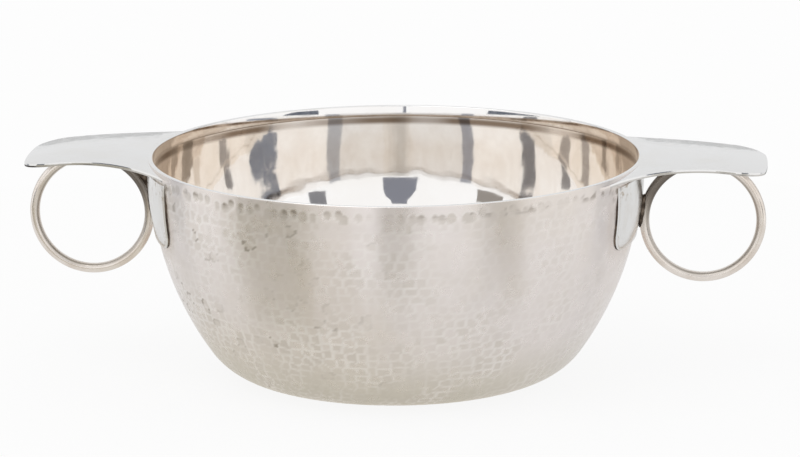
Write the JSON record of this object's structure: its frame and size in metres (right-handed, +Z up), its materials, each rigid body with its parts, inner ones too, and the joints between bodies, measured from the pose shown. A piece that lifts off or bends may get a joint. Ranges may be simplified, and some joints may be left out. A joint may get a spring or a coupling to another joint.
{
  "type": "two-handled cup",
  "caption": "Hammered metal cup: a wide raised bowl with a rim collar, and on each side a flat ear with a round finger ring soldered under it.",
  "frame": {"origin": "middle of the flat underside, where the cup stands", "axes": "+Z up; the two ears and rings lie along X; the pictured side faces -Y"},
  "size_m": [0.1798, 0.12, 0.0547],
  "materials": {
    "hammered_silver": "sterling silver, planished by hand and softly polished",
    "polished_silver": "sterling silver sheet, polished",
    "silver_wire": "round silver wire, polished, a little tarnished",
    "solder": "tarnished silver solder, dull"
  },
  "bodies": {
    "root": {"bowl": "hammered_silver", "rim_collar": "polished_silver", "ear_right": "polished_silver", "tongue_right": "polished_silver", "finger_ring_right": "silver_wire", "tongue_solder_right": "solder", "ear_solder_right": "solder", "ear_left": "polished_silver", "tongue_left": "polished_silver", "finger_ring_left": "silver_wire", "tongue_solder_left": "solder", "ear_solder_left": "solder"}
  },
  "joints": []
}
